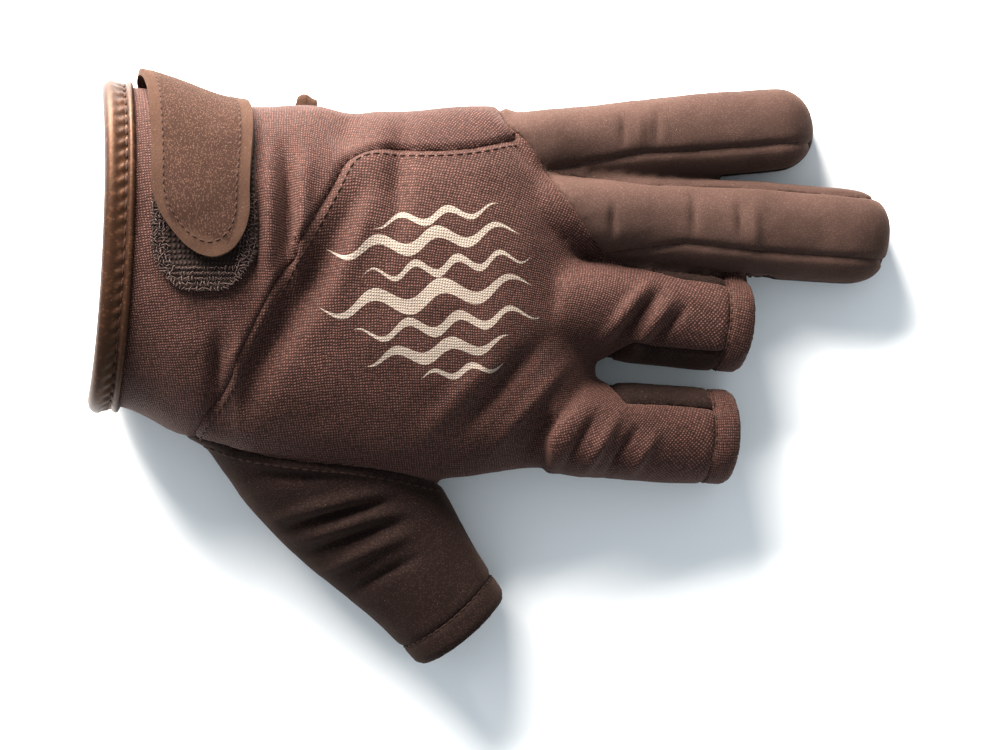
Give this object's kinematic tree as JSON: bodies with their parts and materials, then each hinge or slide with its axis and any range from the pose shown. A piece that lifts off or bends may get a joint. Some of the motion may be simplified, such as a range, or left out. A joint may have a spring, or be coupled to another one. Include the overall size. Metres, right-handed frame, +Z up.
{
  "type": "fishing glove",
  "caption": "Left-hand padded cloth fishing glove lying palm down, with two closed fingers, three cut and hemmed ones, a bound cuff and a hook-and-loop wrist strap.",
  "frame": {"origin": "on the surface the glove lies on, under the middle of the palm", "axes": "+X from the cuff to the fingertips, +Y to the little-finger side, +Z up out of the back of the hand"},
  "size_m": [0.1991, 0.1454, 0.0476],
  "materials": {
    "knit": "padded black-brown mesh knit",
    "fleece": "smooth black-brown micro fleece",
    "suede": "brown suede-like nap",
    "loop_pile": "dark woven loop pile",
    "leather": "folded black-brown imitation leather, satin"
  },
  "bodies": {
    "root": {"thumb_sleeve": "fleece", "palm_panel": "fleece", "little_ring_strip": "fleece", "ring_lower_strip": "fleece", "middle_upper_strip": "fleece", "middle_lower_strip": "fleece", "index_upper_strip": "fleece", "little_finger_back": "fleece", "ring_finger_back": "fleece", "wrist_panel": "knit", "back_panel": "knit", "middle_hem": "knit", "index_hem": "knit", "thumb_hem": "fleece", "cuff_binding": "leather", "strap": "suede", "loop_patch": "loop_pile", "side_tab": "suede"}
  },
  "joints": []
}
